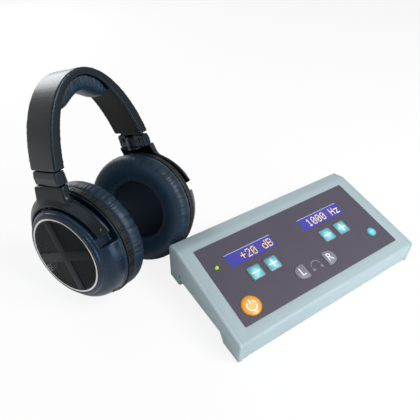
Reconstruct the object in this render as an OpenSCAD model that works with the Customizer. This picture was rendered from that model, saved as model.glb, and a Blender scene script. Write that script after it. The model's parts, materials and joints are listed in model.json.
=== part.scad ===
// Desk screening audiometer: a sloping keypad console and its closed-back headset.
// +X runs along the console to its right, +Y to its rear and +Z up from the table.

/* [Set] */
// Console's middle, sideways from the middle of the set's footprint
console_x = 49.5; // [40:0.5:70]
// Console's front face, front to back from the middle of the set's footprint
console_y = -107.3; // [-120:0.5:-85]

/* [Console case] */
// Width of the case between its end caps
case_w = 195; // [180:1:230]
// Depth of the console, front to rear
case_d = 107.4; // [100:0.2:125]
// Height of the front top edge
front_h = 22.4; // [20:0.2:28]
// Slope of the keypad, in degrees
slope = 11.8; // [9:0.2:14]
// Length of the sloping top
slope_len = 95.8; // [94:0.2:99]
// Height of the rear top edge
rear_h = 39.4; // [37.6:0.2:40.4]
// Wall of the case
case_wall = 2.4; // [1.8:0.1:2.8]
// Height of the underside over the table
under_h = 9.6; // [8:0.1:11]
// Height of the front lip over the table
lip_h = 3.6; // [2.4:0.1:5]
// Depth of the low part under the front edge
chin_d = 20; // [16:0.5:24]
// Floor of the base tray
tray_wall = 2; // [1.6:0.1:2.4]
// Thickness of the rear connector panel
rear_panel_t = 2; // [1.5:0.1:2.5]
// Height of the rear opening over the tray
rear_gap_h = 17; // [15:0.5:18]

/* [End caps] */
// Thickness of an end cap
cap_t = 3.8; // [3.2:0.1:5]
// Rounding of an end cap's outer edge
cap_round = 1.6; // [0.8:0.1:2.2]
// Depth of the rear leg
leg_d = 16.4; // [14:0.2:18]
// Width of a leg, across the console
leg_w = 10; // [8:0.2:12]
// Depth of the front foot block
foot_d = 21; // [18:0.5:24]
// Width of the slot in front of the rear leg
slot_w = 3.2; // [2.4:0.1:4]
// Height of the slot's top over the table
slot_h = 17; // [14:0.5:19]
// Thickness of a rubber foot
rubber_t = 1.4; // [1:0.1:2]
// How far a rubber foot stands proud of its leg
rubber_proud = 0.6; // [0.4:0.1:0.8]

/* [Keypad] */
// Width of the printed overlay
overlay_w = 176; // [174:0.5:180]
// Length of the printed overlay, up the slope
overlay_l = 78.2; // [76:0.2:80]
// Thickness of the printed overlay
overlay_t = 0.4; // [0.3:0.1:0.6]
// Bare strip between the front top edge and the overlay
overlay_y = 10.8; // [9:0.2:12]
// Side of a square key
key_s = 13; // [11.5:0.1:14]
// Height of the key row up the slope
key_row_y = 46.7; // [45.5:0.1:47.5]
// Spacing of a pair of square keys
key_pitch = 18.2; // [17.2:0.1:20]
// Middle of the level key pair, in from the overlay's left edge
level_in = 45.4; // [44.6:0.1:47]
// Middle of the frequency key pair, in from the overlay's right edge
freq_in = 47.4; // [46:0.1:49]
// Diameter of the power key
power_d = 17.2; // [16:0.1:18.5]
// Middle of the power key, in from the overlay's left edge
power_in = 14.6; // [13:0.1:16]
// Power key's place up the slope
power_y = 23.6; // [22:0.1:25]
// Width of an ear key
ear_key_w = 11.6; // [10.5:0.1:12.5]
// Length of an ear key
ear_key_l = 14; // [13:0.1:15]
// Distance between the straight edges of the ear keys
ear_gap = 21.8; // [20:0.1:23]
// Height of the ear keys up the slope
ear_key_y = 27.1; // [26:0.1:28]
// How far a key stands over the overlay
key_proud = 0.8; // [0.6:0.1:1.2]
// Travel of a key
key_travel = 0.4; // [0.3:0.05:0.5]
// Gap round a key in its hole
key_gap = 0.2; // [0.15:0.05:0.3]
// Rim that keeps a key in the case
key_rim = 1; // [0.8:0.1:1.3]

/* [Displays] */
// Width of a display window
window_w = 50; // [48:0.2:52]
// Height of a display window
window_h = 13.4; // [12.6:0.2:14]
// Display row's place up the slope
window_y = 66.4; // [66:0.1:67]
// Width of a display's glass
glass_w = 54; // [52.5:0.2:56]
// Height of a display's glass
glass_h = 16; // [15:0.2:17]
// Thickness of a display's glass
glass_t = 2.8; // [2.2:0.1:3.4]
// Diameter of the status lamp
led_d = 4; // [3:0.1:5]
// Middle of the status lamp, beside its window
led_gap = 11.2; // [8:0.1:14]
// Diameter of the plain round badge
badge_d = 8.8; // [7:0.1:10]

/* [Circuit boards] */
// Depth of the key board under the keypad
key_board_z = 9; // [8.6:0.1:9.4]
// Thickness of a circuit board
board_t = 1.6; // [1.2:0.1:2]
// Width of the main board
main_board_w = 140; // [130:1:150]
// Depth of the main board
main_board_d = 44; // [40:1:46]
// Height of the board bosses on the tray
boss_h = 3; // [2.6:0.1:3.6]
// Radius of the headphone socket's bore
phones_r = 3.2; // [3.1:0.05:3.4]
// Radius of the response button socket's bore
reply_r = 1.8; // [1.75:0.05:2]
// Radius of the power inlet's bore
inlet_r = 3; // [2.75:0.05:3.3]
// Depth of the sockets' bores
socket_l = 14; // [12:0.5:15]

/* [Headset pose] */
// Headset's middle, sideways from the console's middle
headset_x = -129.5; // [-140:0.5:-127]
// Headset's middle, behind the console's rear edge
headset_y = 42.6; // [42.6:0.5:58]
// Turn of the headset on the table, in degrees
headset_yaw = 19.5; // [15:0.5:22]
// Sideways lean of the headset, in degrees
headset_lean = 5; // [3:0.5:6]
// Backward lean of the headset, in degrees
headset_back = 20; // [10:0.5:24]
// Turn of the left cup on its hinge, in degrees
left_swivel = 8; // [6:0.5:11]
// Turn of the right cup on its hinge, in degrees
right_swivel = 16; // [12:0.5:17]
// Tilt of the left ear cup in its yoke, in degrees
left_tilt = 4; // [0:0.5:6]
// Tilt of the right ear cup in its yoke, in degrees
right_tilt = -5; // [-7:0.5:0]
// How far the right slider is drawn out
right_reach = 5.8; // [5.4:0.2:7]

/* [Headband] */
// Half of the headband's widest outer width
band_w = 51; // [50:0.5:54]
// Rise of the headband's outer curve over its widest place
band_h = 98; // [94:0.5:104]
// Height of the widest place over the ear cups' middles, sliders pushed in
band_z = 30.5; // [29:0.5:32]
// Width of the headband, front to back
band_d = 36; // [34:0.5:40]
// Thickness of the headband at its rims
band_t = 8.6; // [8.4:0.1:11]
// Wall of the headband's shell
band_wall = 2.2; // [1.8:0.1:2.4]
// Thickness of the inner liner
liner_t = 2; // [1.6:0.1:2.2]
// Height of the headband's square-cut ends
end_z = 64; // [63:0.5:66]
// Drawing-in of the headband's depth at its crown
crown_thin = 3; // [2:0.1:3.4]
// Angle on the headband's curve where the head pad ends
pad_end = 56; // [54:0.5:64]
// Thickness of the head pad at its crown
head_pad_t = 12.5; // [8:0.5:13]
// Width of the head pad
head_pad_w = 32.5; // [28:0.5:33]

/* [Sliders and hinges] */
// Angle between a slider's path and the headband's upright, in degrees
slide_angle = 15; // [14.5:0.25:15.5]
// Length of the strap inside the headband
strap_l = 25; // [23:0.5:27]
// Width of the strap
strap_w = 28.4; // [26:0.2:29]
// Thickness of the strap
strap_t = 2.8; // [2.4:0.1:3]
// Width of the arm below the headband
arm_w = 32.6; // [31:0.2:33.4]
// Height of the hinge split over the ear cups' middles
split_z = 57; // [56:0.5:58]
// Hinge axis, sideways from the headset's middle
hinge_x = 41; // [40.5:0.1:41.5]
// Radius of the hinge barrel
barrel_r = 5.5; // [5:0.1:6]
// Height of the hinge barrel
barrel_h = 10.4; // [9.6:0.2:10.6]
// Radius of the hinge pin
hinge_pin_r = 2.5; // [2:0.1:3]
// Running gap round a pin
pin_gap = 0.05; // [0.03:0.01:0.08]
// Gap across the hinge split
split_gap = 0.3; // [0.2:0.05:0.4]

/* [Yokes] */
// Lean of the yokes towards each other, in degrees
yoke_tilt = -4; // [-6:0.5:-2]
// Inner radius of the yoke's arch
arch_ri = 41.5; // [41:0.1:42]
// Outer radius of the yoke's arch
arch_ro = 50; // [49:0.1:51]
// Inner side of the arch, out from the ear cup's rim
arch_x = 9; // [8.8:0.1:9.4]
// Width of the arch along the ear cup's axis
arch_t = 8.5; // [8:0.1:9]
// Angle of a prong's end over the horizontal, in degrees
prong_end = 22; // [20:0.5:22.5]
// Pivot's height over the ear cup's middle
pivot_z = 21.5; // [21:0.1:22.5]
// Pivot's place out from the ear cup's rim
pivot_x = 12.5; // [12:0.1:13]
// Radius of a pivot pin
pivot_r = 1.6; // [1.2:0.1:1.8]

/* [Ear cups] */
// Distance from the headset's middle to an ear cup's rim
cup_x = 34.1; // [33.8:0.1:36]
// Radius of the collar round the ear cup
collar_r = 49.6; // [49:0.1:50]
// Width of the collar along the cup's axis
collar_t = 6.4; // [5.6:0.1:6.8]
// Number of notch pairs round the collar
collar_notches = 30; // [12:1:36]
// Radius of the face of the cup
face_r = 38; // [37:0.1:38.4]
// Depth of the cup, rim to face
cup_depth = 21; // [20:0.1:22]
// Wall of the cup
cup_wall = 2.2; // [1.8:0.1:2.6]
// Radius of the bright trim ring
ring_r = 33.4; // [32:0.1:34]
// Width of the bright trim ring
ring_w = 1.5; // [1:0.1:2]
// Depth of the channel for the yoke under the cup's surface
channel_r = 39.2; // [38.8:0.1:39.6]
// Radius of the driver
driver_r = 20; // [16:0.5:22]
// Radius of the ear cushion
ear_pad_r = 50.4; // [49:0.1:52]
// Thickness of the ear cushion
ear_pad_t = 16.5; // [14:0.5:17]
// Radius of the cushion's opening
ear_hole_r = 26.5; // [24:0.5:29]
// Radius of the headset's cable socket bore
cable_r = 1.8; // [1.75:0.05:2]
// Depth of the headset's cable socket bore
cable_l = 10; // [9:0.5:11]

/* [Hidden] */
$fn = 64;
left = -1;
right = 1;
fit_gap = 0.2;       // loose fit between fixed pieces
hair = 0.02;         // face-to-face pieces that only just clear
over = 1;            // how far a cutter runs past what it cuts

case_colour = "#aebfc5";
overlay_colour = "#5a5666";
key_colour = "#46bcc8";
grey_key_colour = "#7c7e8c";
plastic_colour = "#23262b";
soft_colour = "#2a3340";

// ---- outlines ----
function unit(v) = v / norm(v);
function arc(o, r, a0, a1, n) = [for (i = [0:n]) o + r * [cos(a0 + (a1 - a0) * i / n), sin(a0 + (a1 - a0) * i / n)]];
function turn(a) = a > 180 ? a - 360 : a < -180 ? a + 360 : a;
// Points that round the corner b between a and c
function corner(a, b, c, r, n = 5) = r <= 0 ? [b] :
  let (u = unit(a - b), v = unit(c - b), half = acos(u * v) / 2,
       o = b + unit(u + v) * (r / sin(half)), p = b + u * (r / tan(half)) - o,
       q = b + v * (r / tan(half)) - o, a0 = atan2(p.y, p.x))
  arc(o, r, a0, a0 + turn(atan2(q.y, q.x) - a0), n);
function rounded(pts, radii) = let (n = len(pts))
  [for (i = [0:n - 1]) each corner(pts[(i + n - 1) % n], pts[i], pts[(i + 1) % n], radii[i])];
function box_outline(w, l, r) =
  rounded([[-w / 2, -l / 2], [w / 2, -l / 2], [w / 2, l / 2], [-w / 2, l / 2]], [r, r, r, r]);

// Extrudes a front-to-back section sideways, from x0 to x1
module across(x0, x1) translate([x0, 0, 0]) rotate([90, 0, 90]) linear_extrude(x1 - x0) children();

// ---- console profile ----
ridge_y = slope_len * cos(slope);
ridge_z = front_h + slope_len * sin(slope);
bevel = atan2(ridge_z - rear_h, case_d - ridge_y);
cap_x = case_w / 2;
// Top outline of the case, its faces moved in by inset, closed along the height bottom
function case_outline(inset, bottom) =
  let (front_z = front_h + inset * tan(slope) - inset / cos(slope),
       top_y = (ridge_z + ridge_y * tan(bevel) - front_h + inset / cos(slope) - inset / cos(bevel))
         / (tan(slope) + tan(bevel)),
       top_z = front_h + top_y * tan(slope) - inset / cos(slope),
       back_y = case_d - inset,
       back_z = ridge_z - (back_y - ridge_y) * tan(bevel) - inset / cos(bevel))
  rounded([[inset, bottom], [inset, front_z], [top_y, top_z], [back_y, back_z], [back_y, bottom]],
    [0, max(0.4, 2.6 - inset), max(2, 14 - inset), max(0.4, 3.4 - inset), 0]);
// Height of the sloping top over a place y
function top_z(y) = front_h + y * tan(slope);

module console() translate([console_x, console_y, 0]) children();
// Panel frame: origin at the middle of the front top edge, y up the slope, z out of the panel
module on_panel() console() translate([0, 0, front_h]) rotate([slope, 0, 0]) children();

// ---- keypad places ----
level_x = -overlay_w / 2 + level_in;
freq_x = overlay_w / 2 - freq_in;
power_x = -overlay_w / 2 + power_in;
level_down = [level_x - key_pitch / 2, key_row_y];
level_up = [level_x + key_pitch / 2, key_row_y];
freq_down = [freq_x - key_pitch / 2, key_row_y];
freq_up = [freq_x + key_pitch / 2, key_row_y];
power_at = [power_x, power_y];
ear_left = [-ear_gap / 2 - ear_key_w / 2, ear_key_y];
ear_right = [ear_gap / 2 + ear_key_w / 2, ear_key_y];
key_places = [level_down, level_up, freq_down, freq_up, power_at, ear_left, ear_right];
windows = [[level_x, window_y], [freq_x, window_y]];
led_at = [level_x - window_w / 2 - led_gap, window_y];
badge_at = [overlay_w / 2 - 14.8, ear_key_y + 2];
overlay_mid = overlay_y + overlay_l / 2;
switch_top_z = -4.9;
boss_x = overlay_w / 2 - 6;
key_board_l = overlay_l - 12;
key_bosses = [for (x = [-boss_x, boss_x], y = [overlay_mid - 12, overlay_mid + 28]) [x, y]];

// Straight-edged key with a rounded far side; grow widens it all round
module ear_outline(side, grow = 0) {
  w = ear_key_w + grow;
  l = ear_key_l / 2 + grow;
  translate([-side * ear_key_w / 2, 0]) polygon(concat(
    [[-side * grow, -l + 1], [-side * grow, l - 1]],
    [for (i = [0:14]) let (a = 84 - 12 * i)
      [side * w * pow(cos(a), 0.75), l * sign(sin(a)) * pow(abs(sin(a)), 0.75)]]));
}
module square_key_outline(grow = 0) polygon(box_outline(key_s + 2 * grow, key_s + 2 * grow, 1.8));
module key_outlines(grow) {
  for (p = [level_down, level_up, freq_down, freq_up]) translate(p) square_key_outline(grow);
  translate(power_at) circle(d = power_d + 2 * grow);
  translate(ear_left) ear_outline(left, grow);
  translate(ear_right) ear_outline(right, grow);
}

// ---- console pieces ----
module case_top() color(case_colour) difference() {
  union() {
    console() across(-cap_x, cap_x) difference() {
      polygon(case_outline(0, lip_h));
      polygon(case_outline(case_wall, lip_h - over));
      translate([case_d - case_wall - over, lip_h - over])
        square([case_wall + 2 * over, under_h + tray_wall + rear_gap_h - lip_h + over]);
    }
    on_panel() for (p = key_bosses) translate([p.x, p.y, -key_board_z])
      cylinder(d = 6, h = key_board_z - case_wall / 2);
  }
  on_panel() translate([0, 0, -case_wall - over]) linear_extrude(case_wall + 2 * over) {
    key_outlines(key_gap);
    for (p = windows) translate(p) square([window_w - 1, window_h - 1], center = true);
    translate(led_at) circle(d = led_d + key_gap);
  }
  on_panel() for (p = key_bosses) translate([p.x, p.y, -key_board_z - over])
    cylinder(d = 2.2, h = 6);
}

step_y = chin_d + under_h - lip_h;
tray_top = under_h + tray_wall;
main_board_z = tray_top + boss_h;
main_board_y = case_d - 9 - main_board_d / 2;
main_bosses = [for (x = [-1, 1], y = [-1, 1])
  [x * (main_board_w / 2 - 6), main_board_y + y * (main_board_d / 2 - 6)]];
screw_x = cap_x - 6;
case_screw_places = [for (s = [-1, 1], y = [38, 78]) [s * screw_x, y]];
module case_base() color(case_colour) console() difference() {
  union() {
    across(-cap_x, cap_x) polygon([[case_wall + fit_gap, lip_h], [chin_d, lip_h], [step_y, under_h],
      [case_d, under_h], [case_d, tray_top], [step_y - 0.8, tray_top],
      [chin_d - 0.8, lip_h + tray_wall], [case_wall + fit_gap, lip_h + tray_wall]]);
    for (p = main_bosses) translate([p.x, p.y, tray_top - 0.5]) cylinder(d = 6, h = boss_h + 0.5);
  }
  for (p = main_bosses) translate([p.x, p.y, under_h + 0.8]) cylinder(d = 2.2, h = 6);
  for (p = case_screw_places) translate([p.x, p.y, under_h - over]) {
    cylinder(d = 3.2, h = tray_wall + 2 * over);
    cylinder(d = 6.2, h = over + 1.2);
  }
}

rear_y = case_d - case_wall;
phones_x = -main_board_w / 2 + 24;
reply_x = phones_x + 19;
inlet_x = main_board_w / 2 - 15;
socket_z = main_board_z + board_t + 5.6;
module rear_panel() color(overlay_colour) console() difference() {
  translate([-cap_x + fit_gap, rear_y, tray_top])
    cube([case_w - 2 * fit_gap, rear_panel_t, rear_gap_h]);
  for (s = [[phones_x, 5], [reply_x, 3.6], [inlet_x, 4.6]]) translate([s[0], rear_y - over, socket_z])
    rotate([-90, 0, 0]) cylinder(r = s[1] + fit_gap, h = rear_panel_t + 2 * over);
}

// One rounded plate: its outline drawn in steadily towards its outer face
module soft_plate(t) hull() {
  linear_extrude(t - cap_round) children(0);
  for (i = [1:3]) translate([0, 0, t - cap_round])
    linear_extrude(cap_round * sin(30 * i)) offset(delta = -cap_round * (1 - cos(30 * i))) children(0);
}
module end_cap(side) color(case_colour) console() mirror([side < 0 ? 1 : 0, 0, 0])
  translate([cap_x + hair, 0, 0]) difference() {
    union() {
      rotate([90, 0, 90]) soft_plate(cap_t) polygon(case_outline(0, under_h));
      rotate([90, 0, 90]) soft_plate(cap_t)
        polygon(rounded([[0, rubber_proud], [foot_d, rubber_proud], [step_y + 1, under_h + 0.4],
          [step_y + 1, front_h - 8], [0, front_h - 8]], [1.2, 1, 0, 0, 0]));
      rotate([90, 0, 90]) soft_plate(cap_t)
        polygon(rounded([[case_d - leg_d, rubber_proud], [case_d, rubber_proud], [case_d, rear_h - 8],
          [case_d - leg_d, rear_h - 8]], [1.2, 1.2, 0, 0]));
      // blocks that carry the rubber feet
      translate([cap_t - leg_w, 1, rubber_proud]) cube([leg_w - cap_t, foot_d - 4, lip_h - rubber_proud - hair]);
      translate([cap_t - leg_w, case_d - leg_d, rubber_proud])
        cube([leg_w - cap_t, leg_d, under_h - rubber_proud - hair]);
      // lugs that the case screws bite into
      for (p = case_screw_places) if (p.x > 0)
        translate([p.x - cap_x - 4, p.y - 4, tray_top + hair]) cube([10, 8, 7]);
    }
    translate([-over, case_d - leg_d - slot_w, -over]) cube([cap_t + 2 * over, slot_w, slot_h + over]);
    for (f = [[foot_d / 2 - 0.5, 13], [case_d - leg_d / 2, 11]])
      translate([cap_t - leg_w / 2 - 3, f[0] - f[1] / 2, 0]) cube([6, f[1], rubber_t]);
    for (p = case_screw_places) if (p.x > 0)
      translate([p.x - cap_x, p.y, tray_top - over]) cylinder(d = 2.4, h = 7);
  }
module left_end_cap() end_cap(left);
module right_end_cap() end_cap(right);

module screw(head_d, head_h, d, l) {
  translate([0, 0, -l]) cylinder(d = d, h = l + hair);
  difference() {
    cylinder(d = head_d, h = head_h);
    for (a = [0, 90]) rotate([0, 0, a]) translate([-head_d * 0.3, -0.3, head_h * 0.5])
      cube([head_d * 0.6, 0.6, head_h]);
  }
}
module case_screws() color("silver") console() for (p = case_screw_places)
  translate([p.x, p.y, under_h + 1.2]) rotate([180, 0, 0]) screw(5.6, 1.1, 2.36, 6);
module rubber_feet() color("#303236") console() for (s = [-1, 1])
  for (f = [[foot_d / 2 - 0.5, 12.6], [case_d - leg_d / 2, 10.6]])
    translate([s * (cap_x + hair + cap_t - leg_w / 2) - 2.8, f[0] - f[1] / 2, 0])
      cube([5.6, f[1], rubber_t]);

module panel_overlay() color(overlay_colour) on_panel() linear_extrude(overlay_t) difference() {
  translate([0, overlay_mid]) polygon(box_outline(overlay_w, overlay_l, 1));
  key_outlines(key_gap);
  for (p = windows) translate(p) square([window_w, window_h], center = true);
  translate(led_at) circle(d = led_d + key_gap);
  translate(badge_at) circle(d = badge_d + 0.1);
}
module display_windows() color("#3a3c9e") on_panel() for (p = windows) translate([p.x, p.y, 0])
  linear_extrude(overlay_t) square([window_w - 0.1, window_h - 0.1], center = true);

// A key: its cap, the rim that keeps it in the case and the stem over its switch
module key(at, c) on_panel() translate([at.x, at.y, 0]) color(c) {
  rim_z = -case_wall - 0.15;
  translate([0, 0, rim_z - hair]) linear_extrude(overlay_t + key_proud * 0.6 - rim_z + hair) children(0);
  translate([0, 0, overlay_t]) linear_extrude(key_proud) offset(delta = -0.4) children(0);
  translate([0, 0, rim_z - 1]) linear_extrude(1) offset(delta = key_rim) children(0);
  translate([0, 0, switch_top_z + key_travel + 0.05]) cylinder(d = 3.4, h = rim_z - 1 - switch_top_z - key_travel);
}
module power_key() key(power_at, "#f2a81d") circle(d = power_d);
module level_down_key() key(level_down, key_colour) square_key_outline();
module level_up_key() key(level_up, key_colour) square_key_outline();
module frequency_down_key() key(freq_down, key_colour) square_key_outline();
module frequency_up_key() key(freq_up, key_colour) square_key_outline();
module left_ear_key() key(ear_left, grey_key_colour) ear_outline(left);
module right_ear_key() key(ear_right, grey_key_colour) ear_outline(right);

module key_board() color("#1f6b45") on_panel() difference() {
  translate([0, overlay_mid, -key_board_z - board_t - hair])
    linear_extrude(board_t) polygon(box_outline(overlay_w - 2, key_board_l, 2));
  for (p = key_bosses) translate([p.x, p.y, -key_board_z - board_t - over]) cylinder(d = 2.7, h = board_t + 2 * over);
}
module key_switches() color("#2c2c2e") on_panel() for (p = key_places) translate([p.x, p.y, -key_board_z]) {
  translate([-3, -3, 0]) cube([6, 6, 3.2]);
  cylinder(d = 3.2, h = key_board_z + switch_top_z);
}
frame_top = -case_wall - 0.1;
glass_z = frame_top - glass_t - 0.4;
module display_glass(at) color("#2b2e86") on_panel() translate([at.x, at.y, glass_z])
  linear_extrude(glass_t) square([glass_w, glass_h], center = true);
module display_frame(at) color("#3c3f44") on_panel() translate([at.x, at.y, 0]) difference() {
  translate([-glass_w / 2 - 1.6, -glass_h / 2 - 1.6, -key_board_z])
    cube([glass_w + 3.2, glass_h + 3.2, key_board_z + frame_top]);
  translate([-glass_w / 2 - hair, -glass_h / 2 - hair, glass_z - hair])
    cube([glass_w + 2 * hair, glass_h + 2 * hair, glass_t + 2 * hair]);
  translate([-window_w / 2 - 0.4, -window_h / 2 - 0.4, glass_z])
    cube([window_w + 0.8, window_h + 0.8, glass_t + over + 0.4]);
}
module level_display_glass() display_glass(windows[0]);
module level_display_frame() display_frame(windows[0]);
module frequency_display_glass() display_glass(windows[1]);
module frequency_display_frame() display_frame(windows[1]);
module status_lamp() color("#4fa81a") on_panel() translate([led_at.x, led_at.y, 0]) rotate_extrude()
  polygon(concat([[0, -key_board_z], [led_d / 2 + 0.5, -key_board_z], [led_d / 2 + 0.5, -key_board_z + 1.2],
    [led_d / 2, -key_board_z + 1.2]], arc([0, 0.1], led_d / 2, 0, 90, 8)));
module round_badge() color(key_colour) on_panel() translate([badge_at.x, badge_at.y, 0]) {
  cylinder(d = badge_d, h = overlay_t + 0.5);
  cylinder(d = badge_d - 1.2, h = overlay_t + 0.9);
}

module main_board() color("#1f6b45") console() difference() {
  translate([-main_board_w / 2, main_board_y - main_board_d / 2, main_board_z + hair])
    cube([main_board_w, main_board_d, board_t]);
  for (p = main_bosses) translate([p.x, p.y, main_board_z - over]) cylinder(d = 2.7, h = board_t + 2 * over);
}
on_board = main_board_z + board_t + 2 * hair;
module board_components() color("#26282c") console() {
  translate([-12, main_board_y - 14, on_board]) cube([20, 20, 1.6]);
  translate([-44, main_board_y - 12, on_board]) cube([9, 14, 2.4]);
  translate([20, main_board_y - 15, on_board]) cube([14, 10, 4]);
  for (x = [43, 51, 59]) translate([x, main_board_y - 11, on_board]) cylinder(d = 6.3, h = 5.5);
  translate([-59, main_board_y - 14, on_board]) cube([7, 20, 4.4]);
}
module board_screws() color("silver") {
  console() for (p = main_bosses) translate([p.x, p.y, on_board]) screw(4.4, 1.6, 2.16, 5);
  on_panel() for (p = key_bosses) translate([p.x, p.y, -key_board_z - board_t - 2 * hair])
    rotate([180, 0, 0]) screw(4.4, 1.4, 2.16, 5);
}
// A panel socket: block on the board, threaded sleeve through the rear panel, and its nut
module socket(x, bore, sleeve, block, nut) console() translate([x, rear_y, socket_z]) difference() {
  union() {
    translate([0, -over, 0]) rotate([-90, 0, 0]) cylinder(r = sleeve, h = rear_panel_t + 2.6 + over);
    translate([-block / 2, -socket_l - 1, on_board - socket_z]) cube([block, socket_l + 1 - hair, 11.4]);
    if (nut > 0) translate([0, rear_panel_t + hair, 0]) rotate([-90, 0, 0]) cylinder(r = nut, h = 2, $fn = 6);
  }
  translate([0, -socket_l + rear_panel_t + 2.6, 0]) rotate([-90, 0, 0]) cylinder(r = bore, h = socket_l + over);
}
module headphone_socket() color("#35373b") socket(phones_x, phones_r, 5, 13, 6.6);
module reply_socket() color("#35373b") socket(reply_x, reply_r, 3.6, 9, 5);
module power_inlet() color("#35373b") {
  socket(inlet_x, inlet_r, 4.6, 11, 0);
  console() translate([inlet_x, rear_y - socket_l + rear_panel_t + 2.6 - hair, socket_z])
    rotate([-90, 0, 0]) cylinder(d = 2, h = socket_l - 3);
}

// ---- headset frames ----
function rx(v, a) = [v.x, v.y * cos(a) - v.z * sin(a), v.y * sin(a) + v.z * cos(a)];
function ry(v, a) = [v.x * cos(a) + v.z * sin(a), v.y, -v.x * sin(a) + v.z * cos(a)];
function rz(v, a) = [v.x * cos(a) - v.y * sin(a), v.x * sin(a) + v.y * cos(a), v.z];
function posed(v) = rz(ry(rx(v, -headset_back), headset_lean), headset_yaw);
function mirrored(v, side) = [side * v.x, v.y, v.z];
slide_dir = [sin(slide_angle), 0, -cos(slide_angle)];
hinge_at = [hinge_x, 0, 0];
pivot_at = [pivot_x, 0, pivot_z];
cup_at = [cup_x, 0, 0];
function cup_tilt(side) = side < 0 ? left_tilt : right_tilt;
function swivel(side) = side * (side < 0 ? left_swivel : right_swivel);
// A point of an ear cup in the headset's frame, with its slider pushed right in
function from_cup(v, side) = mirrored(
  hinge_at + rz(cup_at + pivot_at + ry(v - pivot_at, -(yoke_tilt + cup_tilt(side))) - hinge_at, swivel(side)), side);
// Lowest height that a circle of radius r round the cup's axis, x out from its rim, reaches
function ring_low(side, x, r) =
  let (o = posed(from_cup([x, 0, 0], side)), n = unit(posed(from_cup([x + 1, 0, 0], side)) - o))
  o.z - r * sqrt(1 - n.z * n.z);
function cup_low(side) = min(ring_low(side, collar_t / 2, collar_r), ring_low(side, -collar_t / 2, collar_r),
  ring_low(side, -collar_t / 2 - 5, ear_pad_r), ring_low(side, -collar_t / 2 - 9, ear_pad_r));
function drop(side) = posed(mirrored(slide_dir, side)).z;
// The headset stands on both ear cups, so the left slider makes up for the lean
headset_z = -cup_low(right) - right_reach * drop(right);
left_reach = -(cup_low(left) + headset_z) / drop(left);
function reach(side) = side < 0 ? left_reach : right_reach;

module on_headset() translate([console_x + headset_x, console_y + case_d + headset_y, headset_z])
  rotate([0, 0, headset_yaw]) rotate([0, headset_lean, 0]) rotate([-headset_back, 0, 0]) children();
module on_side(side) on_headset() mirror([side < 0 ? 1 : 0, 0, 0]) children();
module on_slider(side) on_side(side) translate(reach(side) * slide_dir) children();
module on_swivel(side) on_slider(side) translate(hinge_at) rotate([0, 0, swivel(side)])
  translate(-hinge_at) children();
module on_yoke(side) on_swivel(side) translate(cup_at + pivot_at) rotate([0, -yoke_tilt, 0])
  translate(-pivot_at) children();
module on_cup(side) on_swivel(side) translate(cup_at + pivot_at) rotate([0, -yoke_tilt - cup_tilt(side), 0])
  translate(-pivot_at) children();
// Turns a profile of [radius, distance out] round the ear cup's axis, from angle a0 over span
module round_cup(a0 = 0, span = 360) rotate([a0, 0, 0]) rotate([0, 90, 0]) rotate([0, 0, 90])
  rotate_extrude(angle = span, $fn = 128) children();

// ---- headband ----
function band_point(off, a) = [(band_w - off) * cos(a), band_z + (band_h - off) * sin(a)];
band_steps = 44;
// The inner lines of the headband draw in at its crown
function drawn(off, a) = off > band_wall ? off - crown_thin * pow(sin(a), 6) : off;
function band_strip(off0, off1, a) = let (span = 180 - 2 * a) concat(
  [for (i = [0:band_steps]) let (b = a + span * i / band_steps) band_point(drawn(off0, b), b)],
  [for (i = [band_steps:-1:0]) let (b = a + span * i / band_steps) band_point(drawn(off1, b), b)]);
module fore_aft(w) translate([0, w / 2, 0]) rotate([90, 0, 0]) linear_extrude(w) children();
band_end = asin((end_z - band_z) / band_h);
module cut_above(z) intersection() {
  children();
  translate([-band_w - over, z]) square([2 * (band_w + over), band_h + over]);
}
rim_w = 2.6;
module headband_shell() color(plastic_colour) on_headset() difference() {
  fore_aft(band_d) cut_above(end_z) polygon(band_strip(0, band_t, band_end - 5));
  fore_aft(band_d - 2 * rim_w) polygon(band_strip(band_wall, band_t + over, band_end - 8));
}
module headband_liner() color("#14161a") on_headset()
  fore_aft(band_d - 2 * rim_w - 2 * fit_gap) cut_above(end_z + 0.5)
    polygon(band_strip(band_t - liner_t, band_t, band_end - 5));
// Cushion that follows the liner: each ring is a flat-backed oval, smaller towards the ends
pad_rings = 24;
pad_sides = 20;
function pad_ring(i) = let (t = -1 + 2 * i / pad_rings, a = 90 + t * (90 - pad_end),
    swell = pow(max(0.02, 1 - pow(abs(t), 3.2)), 0.55), w = head_pad_w / 2 * (0.72 + 0.28 * swell),
    thick = 1 + (head_pad_t - 1) * swell)
  [for (k = [0:pad_sides - 1]) let (b = 360 * k / pad_sides, y = w * sign(cos(b)) * pow(abs(cos(b)), 0.7),
      lift = b < 180 ? thick * pow(sin(b), 0.8) : 0, p = band_point(drawn(band_t, a) + fit_gap + lift, a))
    [p.x, b > 180 ? y * 0.92 : y, p.y]];
module loft(rings) {
  n = len(rings[0]);
  m = len(rings);
  top = floor(n / 4);
  polyhedron([for (r = rings) each r], concat(
    [for (k = [1:n - 2]) [top, (top + k) % n, (top + k + 1) % n]],
    [for (j = [0:m - 2], k = [0:n - 1]) each [[j * n + k, (j + 1) * n + k, j * n + (k + 1) % n],
      [j * n + (k + 1) % n, (j + 1) * n + k, (j + 1) * n + (k + 1) % n]]],
    [for (k = [1:n - 2]) (m - 1) * n * [1, 1, 1] + [top, (top + k + 1) % n, (top + k) % n]]));
}
module head_pad() color(soft_colour) on_headset() loft([for (i = [pad_rings:-1:0]) pad_ring(i)]);

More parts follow.
